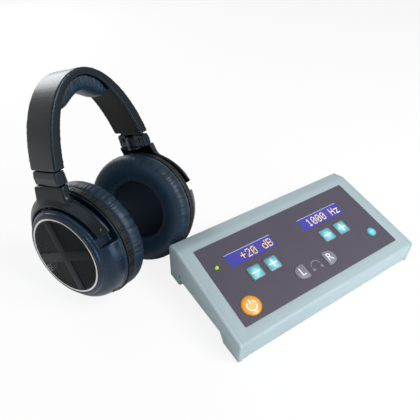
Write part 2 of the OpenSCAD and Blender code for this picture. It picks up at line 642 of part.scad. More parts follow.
// ---- sliders and hinges, drawn for the right side and mirrored for the left ----
strap_off = (band_wall + band_t - liner_t) / 2 - 0.3;
strap_at = band_point(strap_off, band_end);
least_reach = 4;     // the arm's shoulder meets the headband here
shoulder_z = end_z + least_reach * cos(slide_angle) - 0.1;
arm_out = band_point(1.6, 14).x;
module arm_slab(x0, x1, z, w, t = 0.5) translate([x0, -w / 2, z]) cube([x1 - x0, w, t]);
module slider(side) color(plastic_colour) on_slider(side) difference() {
  union() {
    // strap, up inside the headband
    translate([strap_at.x, 0, strap_at.y] + least_reach * -slide_dir) rotate([0, -slide_angle, 0])
      translate([-strap_t / 2, -strap_w / 2, -8]) cube([strap_t, strap_w, strap_l + 8]);
    // arm below the headband, from its shoulder down to the hinge
    hull() {
      arm_slab(hinge_x - 0.8, band_w * cos(band_end) - least_reach * sin(slide_angle) - 0.5, shoulder_z - 1, arm_w, 1);
      arm_slab(hinge_x - 0.8, arm_out, split_z + split_gap / 2, arm_w, 6);
    }
    translate([hinge_x, 0, split_z + split_gap / 2]) cylinder(r = barrel_r, h = barrel_h - 3);
    translate([hinge_x, 0, split_z + barrel_h - 3 - hair]) rotate_extrude()
      polygon(concat([[0, 0]], arc([barrel_r - 2.6, 0], 2.6, 0, 70, 5), [[0, 3]]));
  }
  translate([hinge_x, 0, split_z - over]) cylinder(r = hinge_pin_r + pin_gap, h = barrel_h - 3 + over);
  for (s = [-1, 1]) translate([hinge_x - 3, s * 10.5, split_z + 6]) rotate([0, 90, 0]) cylinder(d = 1.9, h = 7);
}
module left_slider() slider(left);
module right_slider() slider(right);
cover_in = hinge_x - 0.8 - hair;
cover_h = 10.4;
module hinge_cover(side) color(plastic_colour) on_slider(side) difference() {
  translate([cover_in - 1.8, 0, split_z + split_gap / 2]) rotate([90, 0, 90])
    linear_extrude(1.8) polygon(rounded([[-arm_w / 2 + 0.6, 0], [arm_w / 2 - 0.6, 0],
      [arm_w / 2 - 0.6, cover_h], [-arm_w / 2 + 0.6, cover_h]], [1, 1, 1.5, 1.5]));
  translate([hinge_x, 0, split_z - over]) cylinder(r = barrel_r + fit_gap, h = barrel_h + 4);
  for (s = [-1, 1]) translate([cover_in - 1.8 - over, s * 10.5, split_z + 6]) rotate([0, 90, 0])
    cylinder(d = 2.3, h = 4);
}
module left_hinge_cover() hinge_cover(left);
module right_hinge_cover() hinge_cover(right);
module hinge_screws(side) color("#3a3d42") on_slider(side) for (s = [-1, 1])
  translate([cover_in - 1.8 - hair, s * 10.5, split_z + 6]) rotate([0, -90, 0]) screw(4, 1, 1.86, 5);
module left_hinge_screws() hinge_screws(left);
module right_hinge_screws() hinge_screws(right);

// ---- yokes ----
arch_section = [[arch_ri, arch_x], [arch_ro, arch_x], [arch_ro, arch_x + 2.4],
  [arch_ri + 1.4, arch_x + arch_t], [arch_ri, arch_x + arch_t]];
module yoke(side) color(plastic_colour) {
  on_yoke(side) difference() {
    round_cup(prong_end, 180 - 2 * prong_end) polygon(arch_section);
    for (s = [-1, 1]) translate([pivot_x, s * arch_ri, pivot_z]) rotate([90, 0, 0])
      cylinder(r = pivot_r + pin_gap, h = 40, center = true);
  }
  hull() {
    on_swivel(side) arm_slab(hinge_x + 0.6, arm_out + 0.6, split_z - split_gap / 2 - 2, arm_w + 1, 2);
    on_yoke(side) translate([arch_x + 0.3, -17.5, 46]) cube([arch_t - 3.2, 35, 1]);
  }
  hull() {
    on_yoke(side) translate([arch_x + 0.3, -17.5, 46]) cube([arch_t - 3.2, 35, 1]);
    on_yoke(side) translate([arch_x + 0.3, -22, 42]) cube([arch_t - 4.2, 44, 1]);
  }
  on_swivel(side) {
    translate([hinge_x, 0, split_z - 2]) cylinder(r = hinge_pin_r, h = barrel_h - 3);
    translate([hinge_x, 0, split_z - split_gap / 2 - 3]) cylinder(r = barrel_r, h = 3);
  }
}
module left_yoke() yoke(left);
module right_yoke() yoke(right);
pin_in = 29.4;
pin_out = 41.6;
module pivot_pins(side) color("silver") on_yoke(side) for (s = [-1, 1])
  translate([pivot_x, s * pin_out, pivot_z]) rotate([90 * s, 0, 0]) cylinder(r = pivot_r, h = pin_out - pin_in);
module left_pivot_pins() pivot_pins(left);
module right_pivot_pins() pivot_pins(right);

// ---- ear cups ----
rim_x = collar_t / 2 + hair;
face_x = cup_depth;
shell_outer = concat([[collar_r - 1.2, rim_x], [collar_r - 1.2, rim_x + 1.2]],
  [for (i = [0:8]) let (a = 90 * i / 8) [face_r + (collar_r - 2.4 - face_r) * cos(a), rim_x + 2.4 + (face_x - rim_x - 3.4) * sin(a)]],
  [[face_r - 0.6, face_x + 1.4], [ring_r + ring_w + 0.2, face_x + 2.4], [ring_r + ring_w / 2 + 0.2, face_x + 1.2]]);
shell_inner = [[ring_r - 4, face_x + 1.2], [ring_r - 4, face_x - 1], [face_r - cup_wall - 2, face_x - 1.4],
  [channel_r - cup_wall, face_x - 4], [channel_r - cup_wall, rim_x]];
cable_angle = -125;
module cable_hole(r, l) rotate([cable_angle, 0, 0]) translate([rim_x + 5.2, 0, 0]) rotate([-90, 0, 0])
  translate([0, 0, 47.4 - l]) cylinder(r = r, h = l);
module cup_shell(side) color(plastic_colour) on_cup(side) difference() {
  round_cup() polygon(concat(shell_outer, shell_inner));
  round_cup(prong_end - 10, 180 - 2 * (prong_end - 10)) polygon([[channel_r, rim_x + 1.4],
    [collar_r + 4, rim_x + 1.4], [collar_r + 4, face_x + 6], [channel_r + 2.4, face_x + 6], [channel_r, face_x - 3]]);
  for (s = [-1, 1]) translate([pivot_x, s * (pin_in + 3), pivot_z]) rotate([90, 0, 0])
    cylinder(r = pivot_r + pin_gap, h = 16, center = true);
  if (side < 0) cable_hole(3.5 + fit_gap / 2, 14);
}
module left_cup_shell() cup_shell(left);
module right_cup_shell() cup_shell(right);
module trim_ring(side) color("#c9ccd2") on_cup(side) round_cup() polygon([
  [ring_r - ring_w / 2, face_x + 1.2 + hair], [ring_r + ring_w / 2, face_x + 1.2 + hair],
  [ring_r + ring_w / 2, face_x + 2.4], [ring_r, face_x + 2.7], [ring_r - ring_w / 2, face_x + 2.4]]);
module left_trim_ring() trim_ring(left);
module right_trim_ring() trim_ring(right);
grille_r = ring_r - ring_w / 2 - hair;
module grille(side) color("#15181c") on_cup(side) {
  round_cup() polygon([[0, face_x + 1.2 + hair], [grille_r, face_x + 1.2 + hair], [grille_r, face_x + 1.8], [0, face_x + 2.2]]);
  for (a = [-9, 81]) rotate([a, 0, 0]) translate([face_x + 1.6, -4.3, -grille_r + 1]) cube([1, 8.6, 2 * grille_r - 2]);
}
module left_grille() grille(left);
module right_grille() grille(right);
module collar(side) color("#1a1d21") on_cup(side) difference() {
  round_cup() polygon([[collar_r - 5, -collar_t / 2], [collar_r - 0.6, -collar_t / 2], [collar_r, -collar_t / 2 + 0.8],
    [collar_r, collar_t / 2 - 0.8], [collar_r - 0.6, collar_t / 2], [collar_r - 5, collar_t / 2]]);
  for (i = [0:collar_notches - 1], e = [-1.6, 1.6]) rotate([360 * i / collar_notches + e, 0, 0])
    translate([-collar_t / 2 + 1.6, -0.4, collar_r - 0.8]) cube([collar_t, 0.8, 2]);
}
module left_collar() collar(left);
module right_collar() collar(right);
module baffle(side) color("#1c1f23") on_cup(side) round_cup() polygon([[driver_r + 0.1, -collar_t / 2],
  [collar_r - 5 - hair, -collar_t / 2], [collar_r - 5 - hair, -collar_t / 2 + 2.2], [driver_r + 0.1, -collar_t / 2 + 2.2]]);
module left_baffle() baffle(left);
module right_baffle() baffle(right);
module driver(side) color("#4a4d52") on_cup(side) round_cup() polygon([[0, -collar_t / 2 + 0.6], [driver_r - 2, -collar_t / 2 + 0.3],
  [driver_r, -collar_t / 2 + 0.3], [driver_r, 0], [driver_r - 4, 1], [driver_r - 9, 6], [0, 6]]);
module left_driver() driver(left);
module right_driver() driver(right);
module driver_cloth(side) color("#0d0f12") on_cup(side) round_cup() polygon([[0, -collar_t / 2 - hair],
  [ear_hole_r + 2.2, -collar_t / 2 - hair], [ear_hole_r + 2.2, -collar_t / 2 - 0.8], [0, -collar_t / 2 - 1.4]]);
module left_driver_cloth() driver_cloth(left);
module right_driver_cloth() driver_cloth(right);

// Ring cushion: drawn in at its seat, full at its side, crowned, and rolled into its opening
seat_x = -collar_t / 2 - hair;
pad_bulge = 6.4;
ear_section = concat([[ear_hole_r + 3.4, seat_x], [collar_r - 2.4, seat_x]],
  arc([ear_pad_r - pad_bulge, seat_x - 8], pad_bulge, 40, -90, 8),
  [[(ear_pad_r + ear_hole_r) / 2 + 1, seat_x - ear_pad_t]],
  arc([ear_hole_r + 6, seat_x - ear_pad_t + 6.4], 6, 270, 180, 6),
  [[ear_hole_r + 0.6, seat_x - 5]]);
module ear_pad(side) color(soft_colour) on_cup(side) round_cup() polygon(ear_section);
module left_ear_pad() ear_pad(left);
module right_ear_pad() ear_pad(right);
module cable_socket() color("#35373b") on_cup(left) difference() {
  cable_hole(3.5, 13);
  rotate([cable_angle, 0, 0]) translate([rim_x + 5.2, 0, 0]) rotate([-90, 0, 0])
    translate([0, 0, 47.4 - cable_l]) cylinder(r = cable_r, h = cable_l + over);
}

case_top();
case_base();
rear_panel();
left_end_cap();
right_end_cap();
case_screws();
rubber_feet();
panel_overlay();
display_windows();
power_key();
level_down_key();
level_up_key();
frequency_down_key();
frequency_up_key();
left_ear_key();
right_ear_key();
key_board();
key_switches();
level_display_glass();
level_display_frame();
frequency_display_glass();
frequency_display_frame();
status_lamp();
round_badge();
main_board();
board_components();
board_screws();
headphone_socket();
reply_socket();
power_inlet();
headband_shell();
headband_liner();
head_pad();
left_slider();
right_slider();
left_hinge_cover();
right_hinge_cover();
left_hinge_screws();
right_hinge_screws();
left_yoke();
right_yoke();
left_pivot_pins();
right_pivot_pins();
left_cup_shell();
right_cup_shell();
left_trim_ring();
right_trim_ring();
left_grille();
right_grille();
left_collar();
right_collar();
left_baffle();
right_baffle();
left_driver();
right_driver();
left_driver_cloth();
right_driver_cloth();
left_ear_pad();
right_ear_pad();
cable_socket();
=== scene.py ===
import json
import math

import bpy
from mathutils import Matrix, Vector, noise


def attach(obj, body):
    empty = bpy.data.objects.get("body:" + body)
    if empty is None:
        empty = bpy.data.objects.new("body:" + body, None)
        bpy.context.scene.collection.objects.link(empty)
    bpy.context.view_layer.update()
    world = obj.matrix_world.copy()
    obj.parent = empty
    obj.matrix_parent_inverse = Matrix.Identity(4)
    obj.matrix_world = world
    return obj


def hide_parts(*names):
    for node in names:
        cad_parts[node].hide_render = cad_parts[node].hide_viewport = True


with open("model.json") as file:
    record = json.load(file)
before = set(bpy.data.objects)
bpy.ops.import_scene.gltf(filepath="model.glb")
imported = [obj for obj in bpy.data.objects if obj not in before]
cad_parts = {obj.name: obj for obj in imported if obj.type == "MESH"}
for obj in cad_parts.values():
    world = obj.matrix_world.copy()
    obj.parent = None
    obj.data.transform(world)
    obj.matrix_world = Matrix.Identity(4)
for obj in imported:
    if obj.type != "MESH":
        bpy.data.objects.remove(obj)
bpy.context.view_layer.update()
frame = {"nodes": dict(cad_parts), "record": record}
nodes = frame["nodes"]
OWNER = {
    name: body for body, held in frame["record"]["behaviour"]["bodies"].items() for name in held
}
MM = 0.001
SIDES = {"left_": -1, "right_": 1}

# ---- where things are, as in the part's source, in millimetres and degrees ----
CONSOLE = (49.5, -107.3, 0)  # middle of the front face, on the table
FRONT_H, SLOPE = 22.4, 11.8  # height of the front top edge, slope of the keypad
FILM_T, KEY_TOP = 0.4, 1.2  # the overlay's and the keys' faces, over the case
# on the keypad: x from its middle, y up the slope from the front edge
LEVEL_X, FREQUENCY_X = -42.6, 40.6  # middles of the windows, and of the pairs of keys below
KEY_ROW, KEY_PITCH = 46.7, 18.2  # the square keys' place up the slope, and a pair's spacing
POWER_AT, LAMP_AT, BADGE_AT = (-73.4, 23.6), (-78.8, 66.4), (73.2, 29.1)
EAR_KEY_X, EAR_KEY_Y = 16.7, 27.1
WINDOW_W, WINDOW_H, WINDOW_Y = 50.0, 13.4, 66.4
HEADSET = (-80, 42.7, 53.063)  # middle between the ear cups, with both sliders pushed in
YAW, LEAN, BACK = 19.5, 5, 20  # turn on the table, sideways lean, backward lean
BAND_Z = 30.5  # height of the headband's widest place over the cups' middles
CUP_X, HINGE_X = 34.1, 41  # a cup's rim and a yoke's hinge, sideways from the middle
PIVOT_X, PIVOT_Z = 12.5, 21.5  # a cup's pivot, out from its rim and over its middle
YOKE_TILT, SLIDE = -4, 15  # lean of the yokes, and of the sliders' path
SWIVEL = {-1: 8, 1: 16}  # turn of each cup on its hinge
TILT = {-1: 4, 1: -5}  # tilt of each cup in its yoke
REACH = {-1: 4.690, 1: 5.8}  # how far each slider is drawn out
RING_R = 33.4  # the trim ring
HEAD_PAD_HALF = 16.25  # half the head pad's width


def turn(axis, degrees):
    """A turn round one of the axes."""
    return Matrix.Rotation(math.radians(degrees), 4, axis)


def shift(x, y, z):
    """A move in millimetres."""
    return Matrix.Translation(Vector((x, y, z)) * MM)


PANEL = shift(*CONSOLE) @ shift(0, 0, FRONT_H) @ turn("X", SLOPE)
HEAD = shift(*HEADSET) @ turn("Z", YAW) @ turn("Y", LEAN) @ turn("X", -BACK)
FROM_HEAD = HEAD.inverted()


def cup_place(side):
    """Where an ear cup's own frame is: x out along its axis, z up towards the headband."""
    slide = math.radians(SLIDE)
    return (
        HEAD
        @ Matrix.Scale(side, 4, (1, 0, 0))
        @ shift(REACH[side] * math.sin(slide), 0, -REACH[side] * math.cos(slide))
        @ shift(HINGE_X, 0, 0)
        @ turn("Z", side * SWIVEL[side])
        @ shift(CUP_X + PIVOT_X - HINGE_X, 0, PIVOT_Z)
        @ turn("Y", -YOKE_TILT - TILT[side])
        @ shift(-PIVOT_X, 0, -PIVOT_Z)
    )


# ---- camera and lamps ----
CAMERA_AT = (-165.2, -237.1, 303.1)
HEADING, PITCH, ROLL = -33.5, 49.43, 0.52
LENS, SENSOR = 36.2, 36  # focal length and sensor width

camera = bpy.data.objects.new("camera", bpy.data.cameras.new("camera"))
bpy.context.scene.collection.objects.link(camera)
camera.data.lens, camera.data.sensor_width = LENS, SENSOR
camera.data.clip_start, camera.data.clip_end = 0.01, 20
camera.matrix_world = shift(*CAMERA_AT) @ turn("Z", HEADING) @ turn("X", PITCH) @ turn("Z", ROLL)
bpy.context.scene.camera = camera
bpy.context.scene.view_settings.view_transform = "Standard"


def lamp(name, at, aim, size, power, colour):
    """A square soft box that shines from at towards aim, in metres and watts."""
    light = bpy.data.lights.new(name, "AREA")
    light.shape, light.size, light.energy, light.color = "SQUARE", size, power, colour
    holder = bpy.data.objects.new(name, light)
    bpy.context.scene.collection.objects.link(holder)
    holder.location = at
    holder.rotation_euler = (Vector(aim) - Vector(at)).to_track_quat("-Z", "Y").to_euler()


lamp("key_lamp", (0.4, -0.6, 0.8), (0.03, -0.03, 0.03), 0.5, 8.8, (1, 0.98, 0.965))
lamp("side_lamp", (-0.8, -0.1, 0.6), (-0.08, 0.05, 0.08), 0.6, 1.0, (0.9, 0.95, 1))
lamp("back_lamp", (-0.15, 0.95, 0.4), (-0.09, 0.07, 0.16), 0.5, 3.9, (0.96, 0.98, 1))
lamp("low_lamp", (0.2, -0.7, 0.16), (-0.08, 0.0, 0.05), 0.35, 1.5, (0.72, 0.86, 1))


# ---- node tools ----
WHITE = (1, 1, 1, 1)
# sockets of a colour Mix node, which share their names with its number and vector sockets
MIX_SHARE, MIX_FIRST, MIX_SECOND, MIX_COLOUR = 0, 6, 7, 2


def linear(code):
    """A colour written as sRGB hex, as Blender's linear red, green, blue and alpha."""
    parts = [int(code[i : i + 2], 16) / 255 for i in (1, 3, 5)]
    return [c / 12.92 if c <= 0.04045 else ((c + 0.055) / 1.055) ** 2.4 for c in parts] + [1]


def add(tree, kind, inputs=None, **settings):
    """Adds a node with its settings; an input is a value, or the socket that feeds it."""
    node = tree.nodes.new("ShaderNode" + kind)
    for key, value in settings.items():
        setattr(node, key, value)
    for key, value in (inputs or {}).items():
        if isinstance(value, bpy.types.NodeSocket):
            tree.links.new(value, node.inputs[key])
        else:
            node.inputs[key].default_value = value
    return node


def calc(tree, operation, *values):
    """One step of arithmetic on numbers or sockets."""
    return add(tree, "Math", dict(enumerate(values)), operation=operation).outputs[0]


def ramp(tree, value, low, high, to_low=0.0, to_high=1.0, **settings):
    """Takes low to to_low and high to to_high, and holds the result between them."""
    ends = {"From Min": low, "From Max": high, "To Min": to_low, "To Max": to_high}
    return add(tree, "MapRange", {"Value": value, **ends}, **settings).outputs[0]


def blend(tree, share, first, second):
    """A colour between first and second, each a hex code or a socket; share 1 is the second."""
    first, second = (linear(end) if isinstance(end, str) else end for end in (first, second))
    inputs = {MIX_SHARE: share, MIX_FIRST: first, MIX_SECOND: second}
    return add(tree, "Mix", inputs, data_type="RGBA").outputs[MIX_COLOUR]


def length(tree, a, b):
    """Length of the flat vector (a, b)."""
    both = add(tree, "CombineXYZ", {0: a, 1: b}).outputs[0]
    return add(tree, "VectorMath", {0: both}, operation="LENGTH").outputs["Value"]


def here(tree):
    """The shading point's place, in metres."""
    return add(tree, "TexCoord").outputs["Object"]


def patches(tree, point, scale, detail):
    """Cloudy noise from 0 to 1, with scale patches to a metre."""
    return add(tree, "TexNoise", {"Vector": point, "Scale": scale, "Detail": detail}).outputs["Fac"]


def relief(tree, height, strength, depth, **settings):
    """A surface normal from a height pattern, depth in millimetres."""
    inputs = {"Height": height, "Strength": strength, "Distance": depth * MM}
    return add(tree, "Bump", inputs, **settings).outputs[0]


def material(name, **sockets):
    """A new material with its shader's own sockets set; returns it, its tree and its shader."""
    made = bpy.data.materials.new(name)
    made.use_nodes = True
    shader = made.node_tree.nodes["Principled BSDF"]
    for key, value in sockets.items():
        shader.inputs[key.replace("_", " ")].default_value = value
    return made, made.node_tree, shader


def feed(tree, shader, **sockets):
    """Links sockets to the shader's inputs of those names."""
    for key, value in sockets.items():
        tree.links.new(value, shader.inputs[key.replace("_", " ")])


# ---- world and floor ----
AMBIENT = 0.3  # strength of the white world as a light
MIRRORED = 0.3  # share of the full white that glossy surfaces mirror
CARD_GLOW = 0.86  # share of the card that the camera sees as evenly lit paper
FLOOR_SIZE = 6  # in metres
FLOOR_Z = -0.2

# World: full white to the camera and through clear pieces, softer in mirrors and as a light
world = bpy.data.worlds.new("studio")
bpy.context.scene.world = world
world.use_nodes = True
tree = world.node_tree
ray = add(tree, "LightPath").outputs
seen = calc(tree, "MULTIPLY", ray["Is Glossy Ray"], MIRRORED)
seen = calc(tree, "MAXIMUM", ray["Is Camera Ray"], seen)
seen = calc(tree, "MAXIMUM", seen, ray["Is Transmission Ray"])
feed(tree, tree.nodes["Background"], Strength=ramp(tree, seen, 0, 1, AMBIENT, 1))
tree.nodes["Background"].inputs["Color"].default_value = WHITE

# Paper sweep: matt white card that keeps the soft shadow
card, tree, shader = material("white_card", Base_Color=linear("#f6f6f6"), Roughness=0.9)
paper = add(tree, "Emission", {"Color": WHITE, "Strength": 1.0}).outputs[0]
share = calc(tree, "MULTIPLY", add(tree, "LightPath").outputs["Is Camera Ray"], CARD_GLOW)
mix = add(tree, "MixShader", {0: share, 1: shader.outputs[0], 2: paper}).outputs[0]
tree.links.new(mix, tree.nodes["Material Output"].inputs["Surface"])
bpy.ops.mesh.primitive_plane_add(size=FLOOR_SIZE, location=(0, 0, FLOOR_Z * MM))
floor = bpy.context.object
floor.name = "floor"
floor.data.materials.append(card)


# ---- materials ----
NOISE_RANGE = (0.12, 0.4)  # what the product of two noise patterns mostly lies between
GLOSS_DRIFT = 0.05  # how far the roughness wanders
PAINTED_LIGHT_CORE = 0.5  # radius of the painted light's palest spot on a key face


def moulded(name, light, dark, rough, grain, depth, patch=25, **sockets):
    """Moulded or printed plastic: a fine even grain, and broad faint changes of tone and gloss.
    Grain and patch are sizes in millimetres, and depth is how strongly the grain shows."""
    made, tree, shader = material(name, **sockets)
    point = here(tree)
    broad = patches(tree, point, 1 / (patch * MM), 3)
    fine = patches(tree, point, 1 / (grain * MM), 2)
    share = ramp(tree, calc(tree, "MULTIPLY", broad, fine), *NOISE_RANGE)
    feed(
        tree,
        shader,
        Base_Color=blend(tree, share, light, dark),
        Roughness=ramp(tree, broad, 0, 1, rough - GLOSS_DRIFT, rough + GLOSS_DRIFT),
        Normal=relief(tree, fine, depth, 0.2),
    )
    return made


# ABS moulded in a spark-eroded tool: matt pale grey-green with an even fine grain.
# The real grain is under 0.3 mm and is drawn at 1.3 mm so that it shows.
case_abs = moulded("moulded_abs_case", "#a7b9be", "#a0b3b8", 0.42, 1.3, 0.06, 60, IOR=1.5)
# Polycarbonate film printed from behind and lightly textured: dull plum grey with a soft sheen
film = moulded("printed_polycarbonate_film", "#4e4956", "#474250", 0.42, 1.1, 0.15, 30, IOR=1.55)
# Nitrile rubber: black, no shine
rubber = moulded("nitrile_rubber", "#2e3034", "#26282b", 0.8, 1.5, 0.3, 10)
# Zinc-plated steel: bright with faint rolling streaks
steel = moulded("zinc_plated_steel", "#b9bcc0", "#9da1a6", 0.32, 1.2, 0.1, 6, Metallic=1.0)
# Glass-fibre board under green solder mask
board = moulded("solder_masked_board", "#1f6b45", "#18553a", 0.35, 1.2, 0.2, 8)
# Black epoxy packages, nylon sockets and the display modules' nylon frames
epoxy = moulded("black_epoxy", "#26282c", "#1e2023", 0.5, 1.2, 0.2, 10)
nylon = moulded("glass_filled_nylon", "#3a3c40", "#303236", 0.55, 1.2, 0.25, 10)
frame_black = moulded("frame_nylon", "#3c3f44", "#323539", 0.6, 1.2, 0.2, 10)
# Liquid-crystal glass behind the window
display_glass = moulded("display_glass", "#2b2e86", "#25287a", 0.12, 4, 0.0, 15)
# Headset's ABS with a satin etched skin: near black with a grey-blue sheen
band_abs = moulded(
    "satin_abs_shell", "#0b0e10", "#060809", 0.35, 1.2, 0.05, 30,
    IOR=1.5, Specular_IOR_Level=0.42, Specular_Tint=linear("#b9d3ea"),
    Coat_Weight=0.12, Coat_Roughness=0.2,
)
# Smoother ABS of the ear cups' bowls: the same black, glossier, with a blue tone in its colour that
# is a painted sheen
bowl_abs = moulded(
    "polished_abs_bowl_painted_sheen", "#122231", "#0d1823", 0.27, 1.6, 0.03, 30,
    IOR=1.5, Specular_IOR_Level=0.42, Specular_Tint=linear("#a9cdf2"),
    Coat_Weight=0.15, Coat_Roughness=0.15,
)
# Collar and baffle: black with a dull finish
collar_abs = moulded(
    "matt_abs_collar", "#14181a", "#0f1213", 0.5, 1.2, 0.1, 20, Specular_IOR_Level=0.3
)
# Liner under the headband: the dullest black
liner_abs = moulded(
    "ribbed_abs_liner", "#0a0c0e", "#060708", 0.5, 1.4, 0.2, 15, Specular_IOR_Level=0.14
)
# Polished nickel plating on the trim ring: warm and cool reflections in a thin line
nickel = moulded("nickel_plate", "#e3e0da", "#d3d2d2", 0.14, 1.5, 0.0, 5, Metallic=1.0)
# White and grey screen inks
white_ink = moulded("white_screen_ink", "#f4f6f6", "#e9ecec", 0.5, 1.2, 0.05, 6)
grey_ink = moulded("grey_screen_ink", "#8a8694", "#7f7b89", 0.5, 1.2, 0.05, 6)
# Key rims, moulded in grey and in amber, and the silicone of the two ear keys
rim_grey = moulded("grey_key_rim", "#8a8793", "#7f7c89", 0.45, 1.2, 0.08, 8)
amber_rim = moulded("amber_key_rim", "#e39a24", "#d98e18", 0.4, 1.2, 0.05, 8)
ear_key_grey = moulded("grey_silicone_key", "#82828f", "#777785", 0.45, 1.2, 0.1, 8)


def painted_light_face(name, centre, edge, middle, spread):
    """Back-printed face with painted light: it pales towards its middle within spread, as over a
    soft lamp.
    """
    made, tree, shader = material(
        name, Roughness=0.32, IOR=1.5, Coat_Weight=0.3, Coat_Roughness=0.12
    )
    point = here(tree)
    start = (PANEL @ shift(*centre, 0)).to_translation()
    away = add(tree, "VectorMath", {0: point, 1: start}, operation="DISTANCE").outputs["Value"]
    # painted light: the colour turns to the pale middle colour near the face's middle
    share = ramp(tree, away, PAINTED_LIGHT_CORE * MM, spread * MM, interpolation_type="SMOOTHSTEP")
    grain = patches(tree, point, 900, 2)
    feed(
        tree,
        shader,
        Base_Color=blend(tree, share, middle, edge),
        Normal=relief(tree, grain, 0.05, 0.1),
    )
    return made


def paint(name, made):
    """Gives a CAD node that shows as it is its material."""
    nodes[name].data.materials.clear()
    nodes[name].data.materials.append(made)


# The other nodes are stood for by the pieces made below
for name, made in {
    "rear_panel": film, "panel_overlay": film, "case_screws": steel, "board_screws": steel,
    "rubber_feet": rubber, "key_board": board, "main_board": board, "key_switches": epoxy,
    "board_components": epoxy, "headphone_socket": nylon, "reply_socket": nylon,
    "power_inlet": nylon, "cable_socket": nylon, "level_display_frame": frame_black,
    "frequency_display_frame": frame_black, "level_display_glass": display_glass,
    "frequency_display_glass": display_glass, "headband_liner": liner_abs,
}.items():
    paint(name, made)
for word in SIDES:
    for name, made in {
        "hinge_screws": epoxy, "pivot_pins": steel, "trim_ring": nickel,
        "collar": collar_abs, "baffle": collar_abs, "driver": epoxy,
    }.items():
        paint(word + name, made)


# ---- mesh tools ----
MERGE = 0.004  # corners of a CAD mesh that lie this close are one point
MERGE_SPUN = 0.002
FLAT = 0.5  # faces within this angle of each other are joined


def only(obj):
    """Selects a piece alone."""
    bpy.ops.object.select_all(action="DESELECT")
    obj.select_set(True)
    bpy.context.view_layer.objects.active = obj
    return obj


def link(name, data):
    """A new piece in the scene, selected alone."""
    obj = bpy.data.objects.new(name, data)
    bpy.context.scene.collection.objects.link(obj)
    return only(obj)


def mode(name):
    """Changes between edit mode and object mode."""
    bpy.ops.object.mode_set(mode=name)


def copy_of(node, name):
    """A piece with the CAD node's own mesh, its loose triangles merged and flat faces joined."""
    obj = link(name, nodes[node].data.copy())
    mode("EDIT")
    bpy.ops.mesh.select_all(action="SELECT")
    bpy.ops.mesh.customdata_custom_splitnormals_clear()
    bpy.ops.mesh.remove_doubles(threshold=MERGE * MM)
    bpy.ops.mesh.dissolve_limited(angle_limit=math.radians(FLAT))
    mode("OBJECT")
    return obj


def apply(obj, kind, **settings):
    """Adds a modifier with its settings and applies it."""
    only(obj)
    made = obj.modifiers.new(kind.lower(), kind)
    for key, value in settings.items():
        setattr(made, key, value)
    bpy.ops.object.modifier_apply(modifier=made.name)
    return obj


def bevel(obj, width, segments, angle):
    """Rounds the edges that are sharper than angle."""
    limit = {"limit_method": "ANGLE", "angle_limit": math.radians(angle)}
    return apply(obj, "BEVEL", width=width * MM, segments=segments, **limit)


def remesh(obj, voxel):
    """An even mesh of the same form, its faces one voxel wide."""
    return apply(obj, "REMESH", mode="VOXEL", voxel_size=voxel * MM)


def relax(obj, passes):
    """Smooths the form; more passes round its edges further."""
    return apply(obj, "SMOOTH", factor=0.5, iterations=passes)


def smooth(obj, angle):
    """Shades the faces smooth across edges up to angle."""
    only(obj)
    bpy.ops.object.shade_smooth_by_angle(angle=math.radians(angle))
    return obj


def place(obj, matrix):
    """Moves a piece's mesh to its place, and keeps its faces outwards where that mirrors it."""
    obj.data.transform(matrix)
    if matrix.determinant() < 0:
        obj.data.flip_normals()
    return obj


def finish(obj, body, made, slot, *stands_for):
    """Gives a finished piece its material and its body, and hides the CAD nodes it stands for. The
    slot is not used.
    """
    if made:
        obj.data.materials.clear()
        obj.data.materials.append(made)
    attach(obj, body)
    if stands_for:
        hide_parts(*stands_for)
    return obj


def smooth_line(points, steps):
    """Points on a smooth line through the given ones."""
    out = []
    last = len(points) - 1
    for i in range(last):
        a, b, c, d = (Vector(points[max(0, min(last, i + k))]) for k in (-1, 0, 1, 2))
        for k in range(steps):
            t = k / steps
            square, cube = 2 * a - 5 * b + 4 * c - d, 3 * b - a - 3 * c + d
            out.append(0.5 * (2 * b + (c - a) * t + square * t * t + cube * t**3))
    return out + [Vector(points[-1])]


def spun(name, profile, steps, closed):
    """A profile of (radius, place along the axis), spun round the X axis. An open profile has
    both its ends on the axis."""
    data = bpy.data.meshes.new(name)
    count = len(profile)
    edges = [(i, (i + 1) % count) for i in range(count if closed else count - 1)]
    data.from_pydata([Vector((x, 0, r)) * MM for r, x in profile], edges, [])
    obj = link(name, data)
    mode("EDIT")
    bpy.ops.mesh.select_all(action="SELECT")
    bpy.ops.mesh.spin(steps=steps, angle=2 * math.pi, center=(0, 0, 0), axis=(1, 0, 0))
    bpy.ops.mesh.select_all(action="SELECT")
    bpy.ops.mesh.remove_doubles(threshold=MERGE_SPUN * MM)
    bpy.ops.mesh.normals_make_consistent(inside=False)
    mode("OBJECT")
    return obj


def ease(low, high, value):
    """0 at low and 1 at high, with a soft start and end."""
    t = max(0, min(1, (value - low) / (high - low)))
    return t * t * (3 - 2 * t)


def crease(x, y, z):
    """1 in the bottom of a gathered fold, 0 between folds."""
    return max(0, 1 - abs(noise.noise(Vector((x, y, z)))) * 3.2) ** 1.6


def gather(obj, share_at, deepest):
    """Sinks each point along its normal, by its share of the deepest fold. The mesh keeps the
    shares, so that the material can paint shade into the folds."""
    outward = [point.normal.copy() for point in obj.data.vertices]
    shares = []
    for point, normal in zip(obj.data.vertices, outward):
        share = share_at(point.co)
        shares.append(min(1, share))
        point.co -= normal * share * deepest * MM
    obj.data.attributes.new("fold", "FLOAT", "POINT").data.foreach_set("value", shares)
    return obj


# ---- console: keys ----
KEY_RIM, KEY_SLANT, KEY_RISE = 0.6, 0.25, 0.14  # rim, then the slanted step up to the face
KEY_TOP_BAND = 0.05  # faces this little under the key's top belong to it


